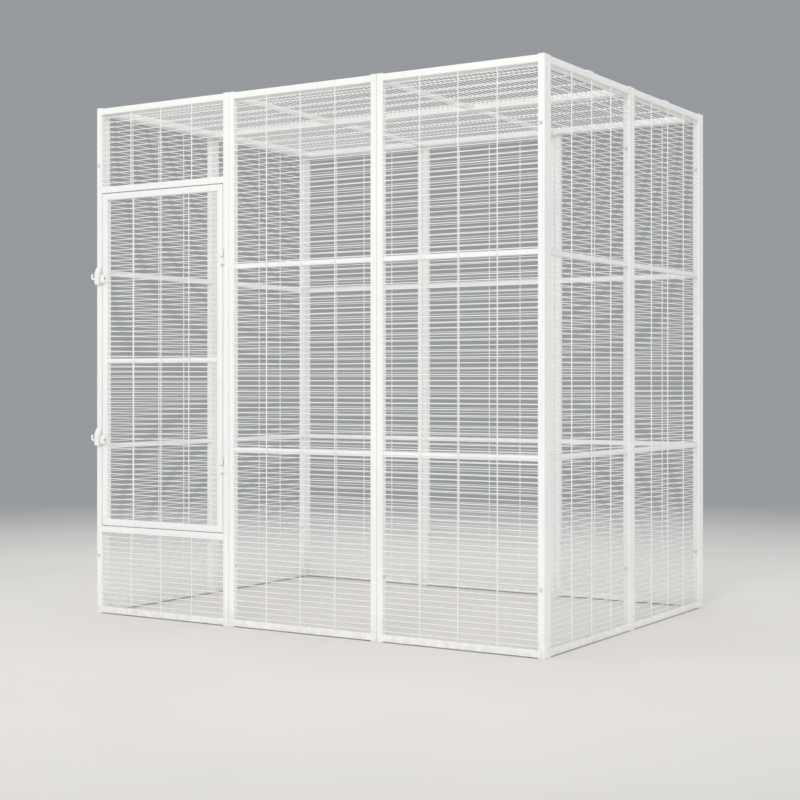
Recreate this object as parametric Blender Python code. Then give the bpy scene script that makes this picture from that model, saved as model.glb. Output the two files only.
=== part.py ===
"""Walk-in breeding cage for parrots: bolted panels of square steel tube and wire, with a hinged door.

Metres, +Z up. The origin is the centre of the whole cage's footprint, on the ground.
The long wall with the door faces -Y. Run with: blender --background --python part.py
"""

import math

import bmesh
import bpy
from mathutils import Matrix, Vector

# Overall sizes
CAGE_HEIGHT = 2.000
FRONT_PANEL_WIDTH = 0.660
FRONT_PANEL_COUNT = 3
SIDE_PANEL_WIDTH = 0.6875
SIDE_PANEL_COUNT = 2

# Square tubes of the panels, with heights to their centres
TUBE = 0.025
CROSSBAR = 0.019
RAIL_INSET = 0.003
LOW_CROSSBAR_FROM_FOOT = 0.661
HIGH_CROSSBAR_FROM_TOP = 0.653
ROOF_CROSSBAR_FROM_END = 0.640
SILL_FROM_FOOT = 0.334
HEADER_FROM_TOP = 0.326
MIDRAIL_FROM_DOOR_BOTTOM = 0.648

# Clearances
SEAT_GAP = 0.0003
RUNNING_GAP = 0.0003
DOOR_GAP = 0.003

# Wire nets on the crossbars' outer side: close level wires, and upright wires in a layer outside them
ROW_PITCH = 0.020
ROW_FROM_RAIL = 0.011
ROW_WIRE = 0.0032
UPRIGHT_WIRE_WIDTH = 0.004
UPRIGHT_WIRE_DEPTH = 0.002
UPRIGHT_SETBACK = 0.0002
NET_COLUMN_COUNT = 4
WIRE_SET_IN = 0.001

# The back wall and the roof have one level wire made for each so many, which keeps the model light
SPARSE_NET_STEP_COUNT = 2

# Roof tabs, which hook over the side walls
TAB_LENGTH = 0.050
TAB_THICKNESS = 0.005
TAB_OVERHANG = 0.020
TAB_SEAT = 0.018

# Joint bolts, with their nuts run on
BOLT_RADIUS = 0.003
BOLT_FROM_END = 0.229
BOLT_HEAD_FLATS = 0.010
BOLT_HEAD_HEIGHT = 0.004
NUT_HEIGHT = 0.005
BOLT_END = 0.002
BOLT_SIDES = 12

# Door hinges
LOWER_HINGE_FROM_DOOR_BOTTOM = 0.2525
UPPER_HINGE_FROM_DOOR_TOP = 0.2745
HINGE_LENGTH = 0.056
HINGE_BARREL_RADIUS = 0.006
HINGE_PIN_RADIUS = 0.003
HINGE_PIN_HEAD_RADIUS = 0.005
HINGE_PIN_HEAD_HEIGHT = 0.002
HINGE_RING_LIP = 0.001
HINGE_RING_THICKNESS = 0.0025
HINGE_LEAF_WIDTH = 0.014
HINGE_LEAF_THICKNESS = 0.0025
HINGE_SIDES = 16

# Slide latches
LATCH_FROM_DOOR_END = 0.336
LATCH_EYE_DEPTH = 0.0145
LATCH_EYE_EDGE = 0.003
GUIDE_WIDTH = 0.024
GUIDE_BELOW_ROD = 0.025
GUIDE_ABOVE_ROD = 0.046
GUIDE_BOSS_BELOW_ROD = 0.019
GUIDE_BOSS_ABOVE_ROD = 0.025
KEEPER_WIDTH = 0.022
KEEPER_HALF_HEIGHT = 0.020
KEEPER_BOSS_HALF_HEIGHT = 0.012
KEEPER_GAP = 0.0008
ROD_RADIUS = 0.004
ROD_STANDOFF = 0.0085
ROD_TRAVEL = 0.0115
ROD_PAST_GUIDE = 0.003
ROD_HANDLE_RISE = 0.020
ROD_BEND_RADIUS = 0.005
LATCH_SIDES = 16
ROD_BEND_STEP_COUNT = 4

# A cutter reaches this far past what it cuts
CUT_PAST = 0.002

# Points of a joined net that lie closer than this are one point
POINT_MERGE = 0.00002

# Sizes that follow
BOLT_GRIP = 2 * TUBE + SEAT_GAP
FRONT_PITCH = FRONT_PANEL_WIDTH + SEAT_GAP
SIDE_PITCH = SIDE_PANEL_WIDTH + SEAT_GAP
CAGE_LENGTH = FRONT_PANEL_COUNT * FRONT_PITCH - SEAT_GAP
CAGE_DEPTH = SIDE_PANEL_COUNT * SIDE_PITCH + SEAT_GAP + 2 * TUBE
ROOF_TOP = CAGE_HEIGHT - RAIL_INSET
ROOF_LENGTH = CAGE_LENGTH - 2 * TUBE - 2 * SEAT_GAP
HEAD_REACH = SEAT_GAP + BOLT_HEAD_HEIGHT
LATCH_REACH = SEAT_GAP + max(LATCH_EYE_DEPTH, ROD_STANDOFF + ROD_RADIUS)
GUIDE_LEFT = (TUBE - GUIDE_WIDTH) / 2
ROD_RIGHT = GUIDE_LEFT + GUIDE_WIDTH + ROD_PAST_GUIDE
HANDLE_X = GUIDE_LEFT - SEAT_GAP - ROD_TRAVEL - ROD_BEND_RADIUS
HANDLE_LEFT = HANDLE_X - ROD_RADIUS

# Where the tube work stands, so that the whole cage is centred with its latches and bolt heads
X_LEFT = (-HANDLE_LEFT - CAGE_LENGTH) / 2
X_RIGHT = X_LEFT + CAGE_LENGTH
Y_FRONT = (LATCH_REACH - CAGE_DEPTH - HEAD_REACH) / 2
Y_BACK = Y_FRONT + CAGE_DEPTH
Y_SIDES = Y_FRONT + TUBE + SEAT_GAP

# The doorway and the door, measured in the door bay's own axes
DOORWAY_LOW = SILL_FROM_FOOT + TUBE / 2
DOORWAY_HIGH = CAGE_HEIGHT - HEADER_FROM_TOP - TUBE / 2
DOOR_LEFT = TUBE + DOOR_GAP
DOOR_RIGHT = FRONT_PANEL_WIDTH - TUBE - DOOR_GAP
DOOR_BOTTOM = DOORWAY_LOW + DOOR_GAP
DOOR_TOP = DOORWAY_HIGH - DOOR_GAP
HINGE_X = X_LEFT + DOOR_RIGHT + DOOR_GAP / 2
HINGE_RING_RADIUS = HINGE_BARREL_RADIUS + HINGE_RING_LIP
HINGE_Y = Y_FRONT - SEAT_GAP - HINGE_RING_RADIUS

WHITE_COAT = ((0.86, 0.86, 0.84, 1.0), 0.42, 0.0)
ZINC = ((0.66, 0.67, 0.68, 1.0), 0.35, 1.0)


def clear_scene():
    for found in list(bpy.data.objects):
        bpy.data.objects.remove(found, do_unlink=True)


def finish_material(name, finish):
    """A Principled material of a piece's own."""
    colour, roughness, metallic = finish
    made = bpy.data.materials.new(name + "_finish")
    made.use_nodes = True
    shader = made.node_tree.nodes["Principled BSDF"]
    shader.inputs["Base Color"].default_value = colour
    shader.inputs["Roughness"].default_value = roughness
    shader.inputs["Metallic"].default_value = metallic
    return made


def new_object(name, shape, finish=None, matrix=None):
    """An object from a finished bmesh. Without a finish it is a cutter, left out of the build."""
    bmesh.ops.recalc_face_normals(shape, faces=shape.faces)
    mesh = bpy.data.meshes.new(name)
    shape.to_mesh(mesh)
    shape.free()
    made = bpy.data.objects.new(name, mesh)
    bpy.context.scene.collection.objects.link(made)
    if matrix is not None:
        made.matrix_world = matrix
    if finish is None:
        made.hide_render = True
        made.display_type = "WIRE"
    else:
        mesh.materials.append(finish_material(name, finish))
    return made


def smooth_round_faces(made):
    made.data.shade_smooth()
    made.data.set_sharp_from_angle(angle=math.radians(40))


def combine(made, other, operation, solver="EXACT"):
    modifier = made.modifiers.new(other.name, "BOOLEAN")
    modifier.operation = operation
    modifier.solver = solver
    modifier.object = other


def cut(made, cutter):
    combine(made, cutter, "DIFFERENCE")


def merge_flat_faces(shape):
    """Joins faces that lie in one plane, and drops the points that are left on straight edges."""
    bmesh.ops.recalc_face_normals(shape, faces=shape.faces)
    bmesh.ops.dissolve_limit(shape, angle_limit=math.radians(1), verts=shape.verts, edges=shape.edges)
    return shape


def boxes_joined(boxes):
    """One closed shape from boxes that meet or overlap, without the faces that would lie inside it.

    The boxes' sides cut space into cells. A face is made wherever a filled cell meets an empty one.
    """
    cuts = []
    for axis in range(3):
        cuts.append(sorted({round(corner[axis], 7) for box in boxes for corner in box}))
    filled = set()
    for low, high in boxes:
        spans = []
        for axis in range(3):
            start = cuts[axis].index(round(low[axis], 7))
            spans.append(range(start, cuts[axis].index(round(high[axis], 7))))
        filled.update((i, j, k) for i in spans[0] for j in spans[1] for k in spans[2])

    shape = bmesh.new()
    points = {}

    def corner_at(index):
        if index not in points:
            points[index] = shape.verts.new([cuts[axis][index[axis]] for axis in range(3)])
        return points[index]

    for cell in sorted(filled):
        for axis in range(3):
            for side in (0, 1):
                beyond = list(cell)
                beyond[axis] += 2 * side - 1
                if tuple(beyond) in filled:
                    continue
                first, second = [other for other in range(3) if other != axis]
                loop = []
                for step_first, step_second in ((0, 0), (1, 0), (1, 1), (0, 1)):
                    index = list(cell)
                    index[axis] += side
                    index[first] += step_first
                    index[second] += step_second
                    loop.append(corner_at(tuple(index)))
                shape.faces.new(loop)
    return merge_flat_faces(shape)


def circle_ring(height, radius, sides):
    """Points of a circle round Z."""
    angles = [2 * math.pi * k / sides for k in range(sides)]
    return [Vector((radius * math.cos(a), radius * math.sin(a), height)) for a in angles]


def hexagon_ring(height, across_flats, sides):
    """A hexagon round Z with as many points as the circles that it joins."""
    points = []
    for k in range(sides):
        angle = 2 * math.pi * k / sides
        from_flat = angle % (math.pi / 3) - math.pi / 6
        radius = across_flats / 2 / math.cos(from_flat)
        points.append(Vector((radius * math.cos(angle), radius * math.sin(angle), height)))
    return points


def rings_joined(rings, shape=None, matrix=None):
    """A closed skin through rings of equal count, capped at both ends."""
    shape = shape or bmesh.new()
    matrix = matrix or Matrix()
    loops = [[shape.verts.new(matrix @ point) for point in ring] for ring in rings]
    for low, high in zip(loops, loops[1:]):
        for k in range(len(low)):
            after = (k + 1) % len(low)
            shape.faces.new((low[k], low[after], high[after], high[k]))
    shape.faces.new(list(reversed(loops[0])))
    shape.faces.new(loops[-1])
    return shape


def turned(profile, sides, shape=None, matrix=None):
    """A round shape about Z from (height, radius) pairs."""
    rings = [circle_ring(height, radius, sides) for height, radius in profile]
    return rings_joined(rings, shape, matrix)


def facing(direction, origin):
    """A placement that turns local +Z to a direction along an axis."""
    turn = Vector(direction).to_track_quat("Z", "Y").to_matrix().to_4x4()
    return Matrix.Translation(origin) @ turn


def placement(right, inwards, up, origin):
    """A placement from three whole-number directions, so that no rounding creeps into it."""
    return Matrix.Translation(origin) @ Matrix((right, inwards, up)).transposed().to_4x4()


def joint_empty(name, origin):
    made = bpy.data.objects.new(name, None)
    made.location = origin
    bpy.context.scene.collection.objects.link(made)
    return made


def keep_in_place_under(parent, pieces):
    bpy.context.view_layer.update()
    for piece in pieces:
        piece.parent = parent
        piece.matrix_parent_inverse = parent.matrix_world.inverted()


# In a panel's own axes, X runs across it, Y from its outer face inwards, and Z up its length


def frame_boxes(width, height, rail_inset):
    """Two stiles and two end rails."""
    inner, top = width - TUBE, height - rail_inset
    return [
        ((0, 0, 0), (TUBE, TUBE, height)),
        ((inner, 0, 0), (width, TUBE, height)),
        ((TUBE, 0, rail_inset), (inner, TUBE, rail_inset + TUBE)),
        ((TUBE, 0, top - TUBE), (inner, TUBE, top)),
    ]


def bar_boxes(width, centres, tube):
    """Level tubes between the stiles, flush with the inner face."""
    return [((TUBE, TUBE - tube, z - tube / 2), (width - TUBE, TUBE, z + tube / 2)) for z in centres]


def barred_boxes(width, height, rail_inset, crossbars):
    """A framed panel with crossbars."""
    return frame_boxes(width, height, rail_inset) + bar_boxes(width, crossbars, CROSSBAR)


def wall_boxes(width):
    crossbars = (LOW_CROSSBAR_FROM_FOOT, CAGE_HEIGHT - HIGH_CROSSBAR_FROM_TOP)
    return barred_boxes(width, CAGE_HEIGHT, RAIL_INSET, crossbars)


def door_bay_boxes():
    """The front panel that holds the door, with a sill and a header."""
    rails = (SILL_FROM_FOOT, CAGE_HEIGHT - HEADER_FROM_TOP)
    return frame_boxes(FRONT_PANEL_WIDTH, CAGE_HEIGHT, RAIL_INSET) + bar_boxes(FRONT_PANEL_WIDTH, rails, TUBE)


def roof_boxes(width, length):
    """A roof panel, with a tab at the middle of each end that hooks over the wall beyond."""
    left = (width - TAB_LENGTH) / 2
    right = left + TAB_LENGTH
    under, top = -SEAT_GAP, -SEAT_GAP - TAB_THICKNESS
    crossbars = (ROOF_CROSSBAR_FROM_END, length - ROOF_CROSSBAR_FROM_END)
    tabs = [
        ((left, top, -TAB_OVERHANG), (right, under, TAB_SEAT)),
        ((left, under, 0), (right, 0, TAB_SEAT)),
        ((left, top, length - TAB_SEAT), (right, under, length + TAB_OVERHANG)),
        ((left, under, length - TAB_SEAT), (right, 0, length)),
    ]
    return barred_boxes(width, length, 0, crossbars) + tabs


def add_level_wire(shape, left, right, z):
    """A wire of three sides with its ridge outwards, set into both stiles."""
    ridge = UPRIGHT_SETBACK + UPRIGHT_WIRE_DEPTH + SEAT_GAP
    base, half = ridge + ROW_WIRE, ROW_WIRE / 2
    section = ((ridge, z), (base, z + half), (base, z - half))
    ends = (left - WIRE_SET_IN, right + WIRE_SET_IN)
    rings_joined([[Vector((x, y, height)) for y, height in section] for x in ends], shape)


def add_upright_wire(shape, x, low, high):
    """A flat wire outside the level ones, set into both rails."""
    half, outer, inner = UPRIGHT_WIRE_WIDTH / 2, UPRIGHT_SETBACK, UPRIGHT_SETBACK + UPRIGHT_WIRE_DEPTH
    section = ((x - half, outer), (x + half, outer), (x + half, inner), (x - half, inner))
    ends = (low - WIRE_SET_IN, high + WIRE_SET_IN)
    rings_joined([[Vector((across, y, z)) for across, y in section] for z in ends], shape)


def net_shape(width, fields, row_step_count):
    """The nets of a panel's fields, each from a low to a high rail."""
    shape = bmesh.new()
    left, right = TUBE, width - TUBE
    for low, high in fields:
        row_count = math.floor((high - low - 2 * ROW_FROM_RAIL) / ROW_PITCH) + 1
        first = (low + high - (row_count - 1) * ROW_PITCH) / 2
        for row in range(0, row_count, row_step_count):
            add_level_wire(shape, left, right, first + row * ROW_PITCH)
        for column in range(1, NET_COLUMN_COUNT):
            add_upright_wire(shape, left + (right - left) * column / NET_COLUMN_COUNT, low, high)
    return shape


def front_placement(number):
    origin = (X_LEFT + number * FRONT_PITCH, Y_FRONT, 0)
    return placement((1, 0, 0), (0, 1, 0), (0, 0, 1), origin)


def back_placement(number):
    origin = (X_LEFT + number * FRONT_PITCH + FRONT_PANEL_WIDTH, Y_BACK, 0)
    return placement((-1, 0, 0), (0, -1, 0), (0, 0, 1), origin)


def right_placement(number):
    origin = (X_RIGHT, Y_SIDES + number * SIDE_PITCH, 0)
    return placement((0, 1, 0), (-1, 0, 0), (0, 0, 1), origin)


def left_placement(number):
    origin = (X_LEFT, Y_SIDES + number * SIDE_PITCH + SIDE_PANEL_WIDTH, 0)
    return placement((0, -1, 0), (1, 0, 0), (0, 0, 1), origin)


def roof_placement(number):
    """Lies flat: its length runs towards -X, and inwards is down."""
    origin = (X_RIGHT - TUBE - SEAT_GAP, Y_SIDES + number * SIDE_PITCH, ROOF_TOP)
    return placement((0, 1, 0), (0, 0, -1), (-1, 0, 0), origin)


def bolt_heights():
    return {"lower": BOLT_FROM_END, "upper": CAGE_HEIGHT - BOLT_FROM_END}


def stile_drill(width, left_is_corner, right_is_corner):
    """The bolt holes of a panel's stiles: through the face at a corner, or through the edge at a seam."""
    radius = BOLT_RADIUS + RUNNING_GAP
    profile = ((-CUT_PAST, radius), (TUBE + CUT_PAST, radius))
    shape = bmesh.new()
    for x, is_corner in ((0, left_is_corner), (width - TUBE, right_is_corner)):
        for z in bolt_heights().values():
            if is_corner:
                matrix = facing((0, 1, 0), (x + TUBE / 2, 0, z))
            else:
                matrix = facing((1, 0, 0), (x, TUBE / 2, z))
            turned(profile, BOLT_SIDES, shape, matrix)
    return shape


def make_panel(name, width, boxes, fields, matrix, row_step_count=1):
    """A welded frame with the nets of its fields joined to it."""
    panel = new_object(name, boxes_joined(boxes), WHITE_COAT, matrix)
    net = net_shape(width, fields, row_step_count)
    combine(panel, new_object(name + "_net", net, None, matrix), "UNION")
    weld = panel.modifiers.new("merge_points", "WELD")
    weld.merge_threshold = POINT_MERGE
    return panel


def drill_stiles(panel, width, matrix, left_is_corner=False, right_is_corner=False):
    """Bolt holes through a panel's stiles.

    The stiles' inner faces have a hole for each wire, and at some heights EXACT leaves one of them open here.
    """
    drill = stile_drill(width, left_is_corner, right_is_corner)
    combine(panel, new_object(panel.name + "_drill", drill, None, matrix), "DIFFERENCE", "MANIFOLD")


def make_walls():
    last, end = FRONT_PANEL_COUNT - 1, RAIL_INSET + TUBE
    whole = [(end, CAGE_HEIGHT - end)]
    round_doorway = [(end, DOORWAY_LOW - TUBE), (DOORWAY_HIGH + TUBE, CAGE_HEIGHT - end)]
    width = FRONT_PANEL_WIDTH
    for number in range(FRONT_PANEL_COUNT):
        at_left, at_right, matrix = number == 0, number == last, front_placement(number)
        if at_left:
            panel = make_panel("front_door_bay", width, door_bay_boxes(), round_doorway, matrix)
        else:
            name = "front_panel_" + str(number + 1)
            panel = make_panel(name, width, wall_boxes(width), whole, matrix)
        drill_stiles(panel, width, matrix, at_left, at_right)
        name, matrix = "back_panel_" + str(number + 1), back_placement(number)
        panel = make_panel(name, width, wall_boxes(width), whole, matrix, SPARSE_NET_STEP_COUNT)
        drill_stiles(panel, width, matrix, at_right, at_left)
    width = SIDE_PANEL_WIDTH
    for number in range(SIDE_PANEL_COUNT):
        for side, matrix in (("left", left_placement(number)), ("right", right_placement(number))):
            name = side + "_wall_panel_" + str(number + 1)
            drill_stiles(make_panel(name, width, wall_boxes(width), whole, matrix), width, matrix)


def make_roof():
    field = [(TUBE, ROOF_LENGTH - TUBE)]
    boxes = roof_boxes(SIDE_PANEL_WIDTH, ROOF_LENGTH)
    for number in range(SIDE_PANEL_COUNT):
        name = "roof_panel_" + str(number + 1)
        make_panel(name, SIDE_PANEL_WIDTH, boxes, field, roof_placement(number), SPARSE_NET_STEP_COUNT)


def make_door():
    width, height = DOOR_RIGHT - DOOR_LEFT, DOOR_TOP - DOOR_BOTTOM
    boxes = barred_boxes(width, height, 0, (MIDRAIL_FROM_DOOR_BOTTOM,))
    matrix = front_placement(0) @ Matrix.Translation((DOOR_LEFT, 0, DOOR_BOTTOM))
    return make_panel("door", width, boxes, [(TUBE, height - TUBE)], matrix)


def bolt_shape():
    """A hexagon bolt along +Z with its nut, from its seat at zero."""
    nut_seat = BOLT_GRIP + SEAT_GAP
    nut_end = nut_seat + NUT_HEIGHT
    hexagon = [hexagon_ring(z, BOLT_HEAD_FLATS, BOLT_SIDES) for z in (-HEAD_REACH, -SEAT_GAP, nut_seat, nut_end)]
    shank = [circle_ring(z, BOLT_RADIUS, BOLT_SIDES) for z in (-SEAT_GAP, nut_seat, nut_end, nut_end + BOLT_END)]
    return merge_flat_faces(rings_joined(hexagon[:2] + shank[:2] + hexagon[2:] + shank[2:]))


def bolt_seats():
    """Where each joint's bolts seat, as (joint name, x, y, direction)."""
    seats = []
    middle = TUBE / 2
    for number in range(FRONT_PANEL_COUNT - 1):
        x = X_LEFT + number * FRONT_PITCH + FRONT_PANEL_WIDTH - TUBE
        seats.append(("front_seam_" + str(number + 1), x, Y_FRONT + middle, (1, 0, 0)))
        seats.append(("back_seam_" + str(number + 1), x, Y_BACK - middle, (1, 0, 0)))
    for end, x in (("left", X_LEFT + middle), ("right", X_RIGHT - middle)):
        seats.append(("front_" + end + "_corner", x, Y_FRONT, (0, 1, 0)))
        seats.append(("back_" + end + "_corner", x, Y_BACK, (0, -1, 0)))
        for number in range(SIDE_PANEL_COUNT - 1):
            y = Y_SIDES + number * SIDE_PITCH + SIDE_PANEL_WIDTH - TUBE
            seats.append((end + "_wall_seam_" + str(number + 1), x, y, (0, 1, 0)))
    return seats


def make_bolts():
    for joint, x, y, direction in bolt_seats():
        for level, z in bolt_heights().items():
            bolt = new_object(joint + "_bolt_" + level, bolt_shape(), ZINC, facing(direction, (x, y, z)))
            smooth_round_faces(bolt)


def hinge_outline(side):
    """The section of a knuckle with its leaf. side is 1 for a leaf towards +X and -1 towards -X."""
    radius, back = HINGE_BARREL_RADIUS, HINGE_RING_RADIUS
    front = back - HINGE_LEAF_THICKNESS
    start = math.pi / 2
    sweep = 2 * math.pi - (start - math.asin(front / radius))
    points = []
    for k in range(HINGE_SIDES + 1):
        angle = start + sweep * k / HINGE_SIDES
        points.append((side * radius * math.cos(angle), radius * math.sin(angle)))
    end = side * HINGE_LEAF_WIDTH
    return points + [(end, front), (end, back), (0, back)]


def hinge_bore(name, low, high, matrix):
    radius = HINGE_PIN_RADIUS + RUNNING_GAP
    return new_object(name, turned(((low - CUT_PAST, radius), (high + CUT_PAST, radius)), HINGE_SIDES), None, matrix)


def make_hinge_half(name, low, high, side, matrix):
    """One knuckle with its leaf and its bore."""
    outline = hinge_outline(side)
    rings = [[Vector((x, y, z)) for x, y in outline] for z in (low, high)]
    half = new_object(name, rings_joined(rings), WHITE_COAT, matrix)
    cut(half, hinge_bore(name + "_bore", low, high, matrix))
    smooth_round_faces(half)
    return half


def make_hinge(name, centre):
    """Frame half, ring, door half and the headed pin through them, from below. Returns the door half."""
    low, high = centre - HINGE_LENGTH / 2, centre + HINGE_LENGTH / 2
    ring_low, ring_high = centre - HINGE_RING_THICKNESS / 2, centre + HINGE_RING_THICKNESS / 2
    matrix = Matrix.Translation((HINGE_X, HINGE_Y, 0))
    make_hinge_half(name + "_frame_half", low, ring_low - RUNNING_GAP, 1, matrix)
    door_half = make_hinge_half(name + "_door_half", ring_high + RUNNING_GAP, high, -1, matrix)
    ring_profile = ((ring_low, HINGE_RING_RADIUS), (ring_high, HINGE_RING_RADIUS))
    ring = new_object(name + "_ring", turned(ring_profile, HINGE_SIDES), ZINC, matrix)
    cut(ring, hinge_bore(name + "_ring_bore", ring_low, ring_high, matrix))
    smooth_round_faces(ring)
    head = high + RUNNING_GAP
    profile = ((low, HINGE_PIN_RADIUS), (head, HINGE_PIN_RADIUS), (head, HINGE_PIN_HEAD_RADIUS),
               (head + HINGE_PIN_HEAD_HEIGHT, HINGE_PIN_HEAD_RADIUS))
    smooth_round_faces(new_object(name + "_pin", turned(profile, HINGE_SIDES), ZINC, matrix))
    return door_half


def make_latch_eye(name, left, width, heights, rod_height, bore_radius):
    """A boss on a stile's outer face for the latch rod, sloped to thin edges below and above.

    heights are those of the lower edge, the boss's two ends and the upper edge, from the rod's axis.
    """
    low, boss_low, boss_high, high = heights
    outline = ((0, low), (LATCH_EYE_EDGE, low), (LATCH_EYE_DEPTH, boss_low), (LATCH_EYE_DEPTH, boss_high),
               (LATCH_EYE_EDGE, high), (0, high))
    rings = [[Vector((x, -depth, z)) for depth, z in outline] for x in (0, width)]
    matrix = Matrix.Translation((left, Y_FRONT - SEAT_GAP, rod_height))
    made = new_object(name, rings_joined(rings), WHITE_COAT, matrix)
    reach = ((-CUT_PAST, bore_radius), (width + CUT_PAST, bore_radius))
    bore = turned(reach, LATCH_SIDES, None, facing((1, 0, 0), (0, -ROD_STANDOFF, 0)))
    cut(made, new_object(name + "_bore", bore, None, matrix))
    return made


def rod_path():
    """The rod's centre line from its right end to the top of its turned-up handle, as (x, z, slope) points."""
    corner_x, corner_z = HANDLE_X + ROD_BEND_RADIUS, ROD_BEND_RADIUS
    path = [(ROD_RIGHT, 0, 0)]
    for k in range(ROD_BEND_STEP_COUNT + 1):
        slope = math.pi / 2 * k / ROD_BEND_STEP_COUNT
        x = corner_x - ROD_BEND_RADIUS * math.sin(slope)
        path.append((x, corner_z - ROD_BEND_RADIUS * math.cos(slope), slope))
    path.append((HANDLE_X, ROD_HANDLE_RISE, math.pi / 2))
    return path


def make_latch_rod(name, rod_height):
    """The sliding rod, drawn back clear of the keeper, with its left end turned up as a handle."""
    rings = []
    for x, z, slope in rod_path():
        across = Vector((math.sin(slope), 0, math.cos(slope))) * ROD_RADIUS
        forward = Vector((0, -ROD_RADIUS, 0))
        angles = [2 * math.pi * k / LATCH_SIDES for k in range(LATCH_SIDES)]
        rings.append([Vector((x, 0, z)) + across * math.cos(a) + forward * math.sin(a) for a in angles])
    matrix = Matrix.Translation((X_LEFT, Y_FRONT - SEAT_GAP - ROD_STANDOFF, rod_height))
    smooth_round_faces(new_object(name, rings_joined(rings), WHITE_COAT, matrix))


def make_latch(name, rod_height):
    """The guide on the corner stile, the rod in it and the keeper on the door. Returns the keeper."""
    guide = (-GUIDE_BELOW_ROD, -GUIDE_BOSS_BELOW_ROD, GUIDE_BOSS_ABOVE_ROD, GUIDE_ABOVE_ROD)
    make_latch_eye(name + "_guide", X_LEFT + GUIDE_LEFT, GUIDE_WIDTH, guide, rod_height, ROD_RADIUS + RUNNING_GAP)
    make_latch_rod(name + "_rod", rod_height)
    left = X_LEFT + DOOR_LEFT + (TUBE - KEEPER_WIDTH) / 2
    keeper = (-KEEPER_HALF_HEIGHT, -KEEPER_BOSS_HALF_HEIGHT, KEEPER_BOSS_HALF_HEIGHT, KEEPER_HALF_HEIGHT)
    return make_latch_eye(name + "_keeper", left, KEEPER_WIDTH, keeper, rod_height, ROD_RADIUS + KEEPER_GAP)


def main():
    clear_scene()
    make_walls()
    make_roof()
    make_bolts()
    swinging = [
        make_door(),
        make_hinge("lower_hinge", DOOR_BOTTOM + LOWER_HINGE_FROM_DOOR_BOTTOM),
        make_hinge("upper_hinge", DOOR_TOP - UPPER_HINGE_FROM_DOOR_TOP),
        make_latch("lower_latch", DOOR_BOTTOM + LATCH_FROM_DOOR_END),
        make_latch("upper_latch", DOOR_TOP - LATCH_FROM_DOOR_END),
    ]
    keep_in_place_under(joint_empty("door_hinge_axis", (HINGE_X, HINGE_Y, 0)), swinging)


main()
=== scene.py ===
# %% [markdown]
# # A walk-in breeding cage for parrots
# The real cage is a kit of flat panels, bolted together edge to edge. Each is a welded rectangle of square
# steel tube with a net of close level wires in it. A door hangs on two weld-on hinges and is held by two
# slide latches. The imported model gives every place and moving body, and this lesson gives each piece the
# form and the coat that show.

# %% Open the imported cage
import math
from types import SimpleNamespace

import bmesh
import bpy
from mathutils import Matrix, Vector


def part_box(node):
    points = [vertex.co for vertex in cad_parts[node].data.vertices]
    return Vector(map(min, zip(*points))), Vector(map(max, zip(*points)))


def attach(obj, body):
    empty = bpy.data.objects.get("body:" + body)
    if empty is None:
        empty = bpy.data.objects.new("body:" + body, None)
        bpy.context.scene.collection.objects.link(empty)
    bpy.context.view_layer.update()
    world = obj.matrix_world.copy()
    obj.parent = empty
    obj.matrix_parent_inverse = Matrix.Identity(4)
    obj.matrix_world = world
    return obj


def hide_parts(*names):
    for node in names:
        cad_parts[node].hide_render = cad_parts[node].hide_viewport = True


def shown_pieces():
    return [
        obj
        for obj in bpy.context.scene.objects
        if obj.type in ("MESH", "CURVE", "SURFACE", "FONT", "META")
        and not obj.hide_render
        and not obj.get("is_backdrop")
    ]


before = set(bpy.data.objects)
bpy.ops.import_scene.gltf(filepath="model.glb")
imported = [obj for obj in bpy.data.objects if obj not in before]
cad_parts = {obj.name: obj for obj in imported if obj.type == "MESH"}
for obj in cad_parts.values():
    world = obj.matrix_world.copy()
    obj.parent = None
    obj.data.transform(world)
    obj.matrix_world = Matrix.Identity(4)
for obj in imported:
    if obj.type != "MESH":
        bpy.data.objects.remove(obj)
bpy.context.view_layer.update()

# %% [markdown]
# The nets would show every error of a camera placed by eye, so it was matched to the photograph: its place
# was measured from the foot of the front left corner, and its lens in picture widths. It is level, which
# keeps the stiles upright, and a small shift sets the horizon's height.

# %% Camera
SENSOR_WIDTH = 36
FOCAL_IN_WIDTHS = 1.95225
CAMERA_FROM_CORNER = Vector((4.310, -4.610, 0.912))
CAMERA_TURN = math.radians(32.09)
HORIZON_SHIFT = -0.0215

scene = bpy.context.scene


def placed(name, data):
    """An object in the scene."""
    made = bpy.data.objects.new(name, data)
    scene.collection.objects.link(made)
    return made


bay_low, bay_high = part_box("front_door_bay")
lens = bpy.data.cameras.new("photo_camera")
lens.sensor_width = SENSOR_WIDTH
lens.lens = SENSOR_WIDTH * FOCAL_IN_WIDTHS
lens.shift_y = HORIZON_SHIFT
camera = placed("photo_camera", lens)
camera.location = Vector((bay_low.x, bay_low.y, 0)) + CAMERA_FROM_CORNER
camera.rotation_euler = (math.radians(90), 0, CAMERA_TURN)
scene.camera = camera
print("camera at", [round(part, 3) for part in camera.location])

# %% [markdown]
# These helpers add a node with its settings and inputs in one call, so that each finish reads as a list of
# what it is made of. Patterns read Object coordinates, and every piece sits at the origin, so they run on
# evenly from piece to piece. Noise gathers round its middle, and the pairs of edges spread that middle into
# patches.

# %% Helpers for materials
SOFT_EDGES, FIRM_EDGES = (0.30, 0.70), (0.35, 0.65)


def join(tree, source, target, socket):
    """Joins an output, or sets a plain value, on a socket of a node."""
    if isinstance(source, bpy.types.NodeSocket):
        tree.links.new(source, target.inputs[socket])
    else:
        target.inputs[socket].default_value = source


def add_node(tree, kind, inputs=None, **settings):
    """A node with its settings made, and its inputs joined or set."""
    made = tree.nodes.new(kind)
    for setting, value in settings.items():
        setattr(made, setting, value)
    for socket, source in (inputs or {}).items():
        join(tree, source, made, socket)
    return made


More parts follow.
